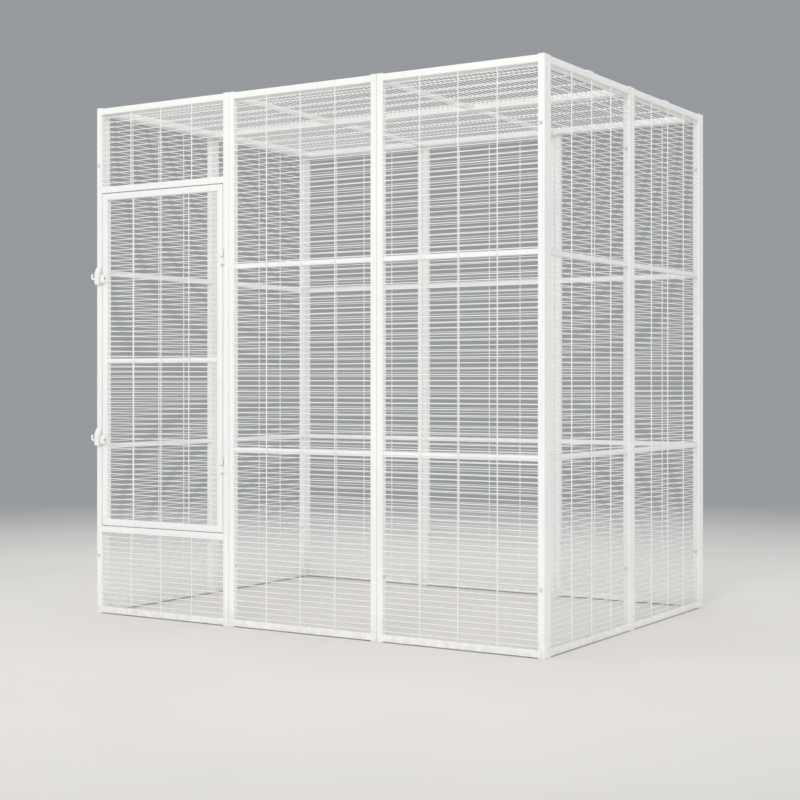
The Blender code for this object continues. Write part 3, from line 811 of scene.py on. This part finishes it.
# %% [markdown]
# One plug is like the next, and so are bolts and screws. Copied objects would give dozens of extra pieces,
# so a tree sets one pattern on points, turns it to face outwards, spins it by chance as tightening does,
# and gives back one mesh. A pattern keeps its own smooth and sharp edges.

# %% Tree for copies that face outwards
SPIN_SEED = 5


def draw_copies(tree, given):
    pattern = out(tree, "GeometryNodeObjectInfo", "Geometry", {"Object": given["Pattern"]})
    way = out(tree, "GeometryNodeInputNamedAttribute", "Attribute", {"Name": "facing"},
              data_type="FLOAT_VECTOR")
    aligned = out(tree, "FunctionNodeAlignRotationToVector", "Rotation", {"Vector": way}, axis="Z")
    chance = out(tree, "FunctionNodeRandomValue", 1, {"Seed": SPIN_SEED}, data_type="FLOAT")
    angle = {"Angle": figured(tree, "MULTIPLY", chance, given["Spin"])}
    spin = out(tree, "FunctionNodeAxisAngleToRotation", "Rotation", angle)
    both = {"Rotation": aligned, "Rotate By": spin}
    turned = out(tree, "FunctionNodeRotateRotation", "Rotation", both, rotation_space="LOCAL")
    return on_points(tree, given["Geometry"], pattern, Rotation=turned)


copy_tree = new_tree("facing_copies", draw_copies, smooth=False, thing="Pattern", size="Spin")


def copies_of(pattern_mesh, seats, finish, spin=0.0, place=None):
    """Copies of a pattern at (point, direction) pairs, spun by chance up to an angle."""
    template = bpy.data.objects.new("pattern", pattern_mesh)
    points = bpy.data.meshes.new("points")
    points.from_pydata([point for point, _ in seats], [], [])
    facing = points.attributes.new("facing", "FLOAT_VECTOR", "POINT")
    facing.data.foreach_set("vector", [part for _, direction in seats for part in direction])
    made = grown(copy_tree, points, {"Pattern": template, "Spin": spin, "Finish": finish}, place)
    bpy.data.objects.remove(template)
    return made

# %% [markdown]
# The stiles stand a few millimetres past the rails, and square plastic plugs close their open ends and keep
# the coat off the ground. A plug is a flange with a rounded edge and a shallow dome, which four shrinking
# outlines give more evenly than a bevelled box.

# %% End plugs
PLUG_STEPS = 4
PLUG_CLEARANCE = 0.0002
# Each pair is a height in flanges and how far the outline is drawn in there.
PLUG_PROFILE = ((0.0, 0.0), (0.55, 0.0), (0.9, 0.0005), (1.0, 0.0014))


def plug_pattern():
    """A plug seen along +Z, from its seat at zero."""
    shape = bmesh.new()
    half = TUBE / 2 - PLUG_CLEARANCE
    loops = []
    for height, drawn_in in PLUG_PROFILE:
        reach = half - drawn_in
        radius = TUBE_EDGE_RADIUS * reach / half
        outline = rounded_corners((-reach, -reach), (reach, reach), radius, PLUG_STEPS)
        loops.append([shape.verts.new((x, y, height * PLUG_FLANGE)) for x, y in outline])
    skin(shape, loops)
    return mesh_of(shape)


def plug_seats(panel):
    """The ends of both stiles, and which way they face."""
    seats = []
    for x in (TUBE / 2, panel.width - TUBE / 2):
        seats.append(((x, TUBE / 2, PLUG_FLANGE), (0, 0, -1)))
        seats.append(((x, TUBE / 2, panel.length - PLUG_FLANGE), (0, 0, 1)))
    return seats


plug_mesh = plug_pattern()
for panel in PANELS:
    plugs = copies_of(plug_mesh, plug_seats(panel), plug_plastic, 0.0, panel.place)
    add_piece(panel.node + "_plugs", plugs, plug_plastic, panel.body)
print("plugs:", 4 * len(PANELS))

# %% [markdown]
# Hexagon bolts hold the panels together through both stiles, with a washer under the head and another under
# the nut. A hexagon that is turned on a lathe gets a round chamfer on its corners. The few threads past the
# nut are rings of two radii, because a true helix would cost far more faces.

# %% Bolts
BOLT_RADIUS = 0.003
HEAD_FLATS = 0.010
HEAD_REACH = 0.0043
HEAD_CHAMFER, FACE_SHARE = 0.0006, 0.97
HEAD_RIM = [(0, HEAD_FLATS / 2 * FACE_SHARE, HEAD_FLATS),
            (HEAD_CHAMFER, HEAD_FLATS / math.sqrt(3), HEAD_FLATS)]
WASHER_RADIUS = 0.0062
WASHER_THICKNESS = 0.0010
WASHER_EDGE = 0.2 * WASHER_THICKNESS
WASHER_RIM = [(0, WASHER_RADIUS - WASHER_EDGE), (WASHER_EDGE, WASHER_RADIUS)]
THREAD_PITCH = 0.0007
THREAD_TURNS = 3
# Where in a turn the root and the crest stand, and the radii of the root and the bolt's tip, in bolt radii.
ROOT_AT, CREST_AT, ROOT_RADIUS, TIP_RADIUS = 0.35, 0.85, 0.86, 0.80
BOLT_SIDES = 24
GRIP = 2 * TUBE + 0.0003


def ring_at(shape, sides, height, radius, flats=0.0):
    """A circle at a height. flats cuts it to a hexagon of that size across."""
    points = []
    for k in range(sides):
        angle = 2 * math.pi * k / sides
        reach = radius
        if flats:
            reach = min(flats / 2 / math.cos(angle % (math.pi / 3) - math.pi / 6), radius)
        points.append(shape.verts.new((reach * math.cos(angle), reach * math.sin(angle), height)))
    return points


def lathe(shape, rings, sides=BOLT_SIDES, closed_ring=False):
    """A skin through rings, each a height, a radius and perhaps its flats."""
    skin(shape, [ring_at(shape, sides, *ring) for ring in rings], closed_ring)


def both_rims(low, high, rim):
    """Rings of a body with the same rim at both ends, listed by height from the end."""
    return [(low + up, *rest) for up, *rest in rim] + [(high - up, *rest) for up, *rest in reversed(rim)]


def bolt_pattern(total):
    """A bolt with its nut and washers, along +Z from the top of its head."""
    shape = bmesh.new()
    under_head, under_nut = HEAD_REACH - WASHER_THICKNESS, HEAD_REACH + GRIP
    nut_high = total - THREAD_TURNS * THREAD_PITCH
    lathe(shape, both_rims(0, under_head, HEAD_RIM))
    for low in (under_head, under_nut):
        lathe(shape, both_rims(low, low + WASHER_THICKNESS, WASHER_RIM))
    lathe(shape, both_rims(under_nut + WASHER_THICKNESS, nut_high, HEAD_RIM))
    threads = [(under_head, BOLT_RADIUS), (nut_high, BOLT_RADIUS)]
    for turn in range(THREAD_TURNS):
        threads.append((nut_high + (turn + ROOT_AT) * THREAD_PITCH, ROOT_RADIUS * BOLT_RADIUS))
        threads.append((nut_high + (turn + CREST_AT) * THREAD_PITCH, BOLT_RADIUS))
    threads[-1] = (total, TIP_RADIUS * BOLT_RADIUS)
    lathe(shape, threads)
    return mesh_of(shape, 30)


def bolt_seat(node):
    """Where a bolt's head stands, which way the bolt points and how long it is."""
    low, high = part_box(node)
    size, middle = high - low, (low + high) / 2
    axis = max(range(3), key=lambda part: size[part])
    turned_back = node.startswith(("back_left_corner", "back_right_corner"))
    direction = Vector((0, 0, 0))
    direction[axis] = -1 if turned_back else 1
    return tuple(middle - direction * size[axis] / 2), tuple(direction), size[axis]


bolt_nodes = sorted(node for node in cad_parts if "_bolt_" in node)
seats = [bolt_seat(node) for node in bolt_nodes]
bolt_length = seats[0][2]
bolts = copies_of(bolt_pattern(bolt_length), [seat[:2] for seat in seats], zinc, math.pi / 3)
add_piece("joint_bolts", bolts, zinc, "cage", bolt_nodes)
print("bolts:", len(bolt_nodes), "each", round(bolt_length * 1000, 1), "mm long")

# %% [markdown]
# A weld-on hinge is two knuckles on one pin, with a loose ring between them that takes the wear. A solid
# cylinder would hide the pin, so a knuckle is turned with its bore. Its leaf is a small plate with softened
# edges.

# %% Knuckles and plates
HINGE_SIDES = 32
PIN_BORE = 0.0033
KNUCKLE_EDGE, RING_EDGE = 0.0008, 0.0006


def turned_ring(shape, axis, low, high, radius, edge):
    """A ring of metal about an upright axis, with rounded rims and a bore for the pin."""
    inner = 0.3 * edge
    rim = [(0, PIN_BORE), (0, radius - edge), (inner, radius - inner), (edge, radius)]
    lathe(shape, both_rims(low, high, rim), HINGE_SIDES, True)
    shape.transform(Matrix.Translation((axis.x, axis.y, 0)))


def plate(shape, low, high, edge):
    """A flat plate with all its edges softened."""
    made = bmesh.new()
    low, high = Vector(low), Vector(high)
    block = Matrix.Translation((low + high) / 2) @ Matrix.Diagonal((*(high - low), 1))
    bmesh.ops.create_cube(made, size=1.0, matrix=block)
    bmesh.ops.bevel(made, geom=made.edges[:], offset=edge, segments=2, affect="EDGES", profile=0.5)
    shape.from_mesh(mesh_from(made, "plate"))


print("hinge bores are", round(PIN_BORE * 2000, 1), "mm wide")

# %% [markdown]
# Each hinge is four pieces: a half on the cage, a half that swings with the door, the ring and the headed
# pin. Their boxes in the plain model set them round one axis, and a weld runs along each leaf.

# %% Hinges
LEAF_THICKNESS = 0.0025
LEAF_EDGE = 0.0005
LEAF_IN_KNUCKLE = 0.0045
LEAF_WELD_RADIUS = 0.0013
WELD_FROM_EDGE, WELD_FROM_BACK, WELD_FROM_END = 0.0008, 0.0006, 0.002
PIN_PLAY = 0.0003
PIN_CHAMFER = 0.0006
# Each pair is a depth under the top of the pin's head and how far the rim is drawn in there.
HEAD_PROFILE = ((0.002, 0.0002), (0.0014, 0.0), (0.0009, 0.0002), (0.0003, 0.0013), (0.0, 0.0030))


def make_hinge_half(node, body, axis, side):
    """A knuckle with its leaf towards +X or -X, and the weld along the leaf."""
    low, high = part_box(node)
    back = high.y
    radius = axis.y - low.y
    shape = bmesh.new()
    turned_ring(shape, axis, low.z, high.z, radius, KNUCKLE_EDGE)
    far = high.x if side > 0 else low.x
    near = axis.x + side * (radius - LEAF_IN_KNUCKLE)
    plate(shape, (min(near, far), back - LEAF_THICKNESS, low.z), (max(near, far), back, high.z), LEAF_EDGE)
    add_piece(node + "_body", mesh_of(shape, 35), fitting_coat, body, [node])
    x, y = far - side * WELD_FROM_EDGE, back - WELD_FROM_BACK
    line = [((x, y, low.z + WELD_FROM_END), (x, y, high.z - WELD_FROM_END))]
    add_piece(node + "_weld", beads(line, LEAF_WELD_RADIUS, LEAF_SEED), fitting_coat, body)


def make_hinge(name):
    pin_low, pin_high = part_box(name + "_pin")
    ring_low, ring_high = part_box(name + "_ring")
    axis = (pin_low + pin_high) / 2
    make_hinge_half(name + "_frame_half", "cage", axis, 1)
    make_hinge_half(name + "_door_half", "door", axis, -1)
    shape = bmesh.new()
    turned_ring(shape, axis, ring_low.z, ring_high.z, (ring_high.x - ring_low.x) / 2, RING_EDGE)
    add_piece(name + "_wear_ring", mesh_of(shape, 35), zinc, "cage", [name + "_ring"])
    head, top = (pin_high.x - pin_low.x) / 2, pin_high.z
    shank = PIN_BORE - PIN_PLAY
    rings = [(pin_low.z, shank - PIN_CHAMFER), (pin_low.z + PIN_CHAMFER, shank),
             (top - HEAD_PROFILE[0][0], shank)]
    shape = bmesh.new()
    lathe(shape, rings + [(top - down, head - drawn_in) for down, drawn_in in HEAD_PROFILE])
    shape.transform(Matrix.Translation((axis.x, axis.y, 0)))
    add_piece(name + "_headed_pin", mesh_of(shape, 30), zinc, "cage", [name + "_pin"])
    print(name, "turns about", [round(part, 4) for part in axis])


for name in ("lower_hinge", "upper_hinge"):
    make_hinge(name)

# %% [markdown]
# The latch guides and keepers are pressed lumps with a bore for the rod. The plain solid already has that
# shape, so nothing is drawn again: it is copied, its loose triangles are merged back into flat faces, and
# its edges are rounded. A weld runs over and under each one.

# %% Latch guides and keepers
LUMP_EDGE = 0.0009
SAME_POINT = 0.000002
FLAT_ANGLE, SHARP_ANGLE = math.radians(2), math.radians(25)
LUMP_WELD_RADIUS = 0.0014


def softened_copy(node, edge):
    """The node's own solid with its sharp edges rounded."""
    shape = bmesh.new()
    shape.from_mesh(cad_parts[node].data)
    bmesh.ops.remove_doubles(shape, verts=shape.verts, dist=SAME_POINT)
    bmesh.ops.dissolve_limit(shape, angle_limit=FLAT_ANGLE, verts=shape.verts, edges=shape.edges)
    sharp = [line for line in shape.edges if line.is_manifold and line.calc_face_angle() > SHARP_ANGLE]
    bmesh.ops.bevel(shape, geom=sharp, offset=edge, segments=3, affect="EDGES", profile=0.5,
                    clamp_overlap=True)
    return mesh_of(shape, 30)


def make_lump(node, body):
    low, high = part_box(node)
    add_piece(node + "_body", softened_copy(node, LUMP_EDGE), fitting_coat, body, [node])
    left, right, y = low.x + WELD_FROM_END, high.x - WELD_FROM_END, high.y - WELD_FROM_BACK
    lines = [((left, y, z), (right, y, z)) for z in (low.z, high.z)]
    add_piece(node + "_welds", beads(lines, LUMP_WELD_RADIUS, LUMP_SEED), fitting_coat, body)


for level in ("lower", "upper"):
    make_lump(level + "_latch_guide", "cage")
    make_lump(level + "_latch_keeper", "door")
print("guides and keepers: 4")

# %% [markdown]
# Each rod is one round bar, bent up at its outer end as a handle. Two cylinders would meet in a hard elbow,
# so a tree turns its middle line into a bar whose radius shrinks over the last millimetres, which rounds
# both cut ends.

# %% Tree for the latch rods
ROD_SIDES = 24
TIP_FACE = 0.55
ROD_TIP = 0.0016


def draw_rod(tree, given):
    path = out(tree, "GeometryNodeMeshToCurve", "Curve", {"Mesh": given["Geometry"]})
    along = out(tree, "GeometryNodeSplineParameter", "Length")
    whole = out(tree, "GeometryNodeSplineLength", "Length")
    to_end = figured(tree, "MINIMUM", along, figured(tree, "SUBTRACT", whole, along))
    inside = figured(tree, "MINIMUM", figured(tree, "DIVIDE", to_end, ROD_TIP), 1.0)
    missing = figured(tree, "SUBTRACT", 1.0, inside)
    square = figured(tree, "MULTIPLY", missing, missing)
    swell = figured(tree, "SQRT", figured(tree, "SUBTRACT", 1.0, square))
    fullness = figured(tree, "ADD", figured(tree, "MULTIPLY", swell, 1 - TIP_FACE), TIP_FACE)
    return swept(tree, path, given["Radius"], ROD_SIDES, fullness)


rod_tree = new_tree("bent_rod", draw_rod, size="Radius")

# %% [markdown]
# A rod's thickness and reach come from its box. Its line has a quarter circle at the bend, and is closely
# stepped only there and at the two tips.

# %% Latch rods
TIP_STEPS = 4
BEND_RADIUS = 0.005
BEND_STEPS = 10


def rod_line(low, high, radius):
    """The rod's middle line from its right tip, round the bend and up the handle."""
    y, z = (low.y + high.y) / 2, low.z + radius
    handle_x = low.x + radius
    line = [(high.x - ROD_TIP * step / TIP_STEPS, y, z) for step in range(TIP_STEPS + 1)]
    for step in range(BEND_STEPS + 1):
        angle = math.pi / 2 * step / BEND_STEPS
        across, up = 1 - math.sin(angle), 1 - math.cos(angle)
        line.append((handle_x + BEND_RADIUS * across, y, z + BEND_RADIUS * up))
    for step in range(TIP_STEPS + 1):
        line.append((handle_x, y, high.z - ROD_TIP * (TIP_STEPS - step) / TIP_STEPS))
    return line


def make_rod(node):
    low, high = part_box(node)
    radius = (high.y - low.y) / 2
    line = rod_line(low, high, radius)
    mesh = bpy.data.meshes.new("line")
    mesh.from_pydata(line, [(k, k + 1) for k in range(len(line) - 1)], [])
    rod = grown(rod_tree, mesh, {"Radius": radius, "Finish": fitting_coat})
    add_piece(node + "_bent_bar", rod, fitting_coat, node, [node])
    print(node, "is", round(radius * 2000, 1), "mm thick")


make_rod("lower_latch_rod")
make_rod("upper_latch_rod")

# %% [markdown]
# Short flat bars on the roof panels reach over the end walls, and a countersunk screw holds each to its
# wall. The cross recess is small, but light falls into it, so it is cut as two real slots and not painted
# on.

# %% Tab screws
SCREW_RADIUS = 0.0042
SCREW_RINGS = [(-0.0020, 0.0020), (-0.0003, SCREW_RADIUS - 0.0002), (0.0, SCREW_RADIUS - 0.0005)]
SLOT_LENGTH, SLOT_WIDTH, SLOT_HEIGHT = 0.0046, 0.0010, 0.0022


def screw_pattern():
    """A flat screw head with a cross recess, from the tab's top at zero."""
    head, cutter = bmesh.new(), bmesh.new()
    lathe(head, SCREW_RINGS)
    bmesh.ops.recalc_face_normals(head, faces=head.faces)
    for size in ((SLOT_LENGTH, SLOT_WIDTH, SLOT_HEIGHT), (SLOT_WIDTH, SLOT_LENGTH, SLOT_HEIGHT)):
        bmesh.ops.create_cube(cutter, size=1.0, matrix=Matrix.Diagonal((*size, 1)))
    screw, cross = placed("screw", mesh_from(head, "screw")), placed("cross", mesh_from(cutter, "cross"))
    cut = screw.modifiers.new("recess", "BOOLEAN")
    cut.object = cross
    cut.solver = "EXACT"
    cut.use_self = True
    done = plain_mesh(screw)
    bpy.data.objects.remove(cross)
    done.materials.clear()
    return done


screw_mesh = screw_pattern()
print("a screw head has", len(screw_mesh.polygons), "faces")

# %% [markdown]
# Those bars show in the picture as two bumps on the far top edge. Each tab is a softened plate, welded to
# the roof panel. In the panel's axes its two ends are two lengths along Z, so the same lines make the tabs
# at both ends.

# %% Roof tabs
TAB_LENGTH = 0.050
TAB_THICKNESS = 0.005
TAB_SEAT = 0.018
TAB_EDGE = 0.0008
TAB_WELD_RADIUS = 0.0011
TAB_WELD_FROM_EDGE = 0.003
SCREW_FROM_END = 0.0095


def make_tabs(panel):
    middle, length = panel.width / 2, panel.length
    left, right = middle - TAB_LENGTH / 2, middle + TAB_LENGTH / 2
    under, top = -(TAB_RISE - TAB_THICKNESS), -TAB_RISE
    shape, lines, seats = bmesh.new(), [], []
    for wall_end, roof_end in ((-TAB_OVERHANG, TAB_SEAT), (length + TAB_OVERHANG, length - TAB_SEAT)):
        low_z, high_z = min(wall_end, roof_end), max(wall_end, roof_end)
        plate(shape, (left, top, low_z), (right, under, high_z), TAB_EDGE)
        weld = left + TAB_WELD_FROM_EDGE, right - TAB_WELD_FROM_EDGE
        lines.append([(x, under, roof_end) for x in weld])
        outwards = 1 if wall_end > roof_end else -1
        seats.append(((middle, top, wall_end - outwards * SCREW_FROM_END), (0, -1, 0)))
    shape.transform(panel.place)
    name = panel.node
    add_piece(name + "_tabs", mesh_of(shape, 30), fitting_coat, "cage")
    welds = beads(lines, TAB_WELD_RADIUS, TAB_SEED, panel.place)
    add_piece(name + "_tab_welds", welds, fitting_coat, "cage")
    screws = copies_of(screw_mesh, seats, zinc, math.pi / 2, panel.place)
    add_piece(name + "_tab_screws", screws, zinc, "cage")


roof_panels = [panel for panel in PANELS if panel.side == "roof"]
for panel in roof_panels:
    make_tabs(panel)
print("roof tabs:", 2 * len(roof_panels))

# %% [markdown]
# Meshes that nothing uses are removed, and each shown piece gets its triangles.

# %% Tidy up the meshes
for spare in [found for found in bpy.data.meshes if not found.users]:
    bpy.data.meshes.remove(spare)
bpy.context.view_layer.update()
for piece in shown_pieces():
    piece.data.calc_loop_triangles()
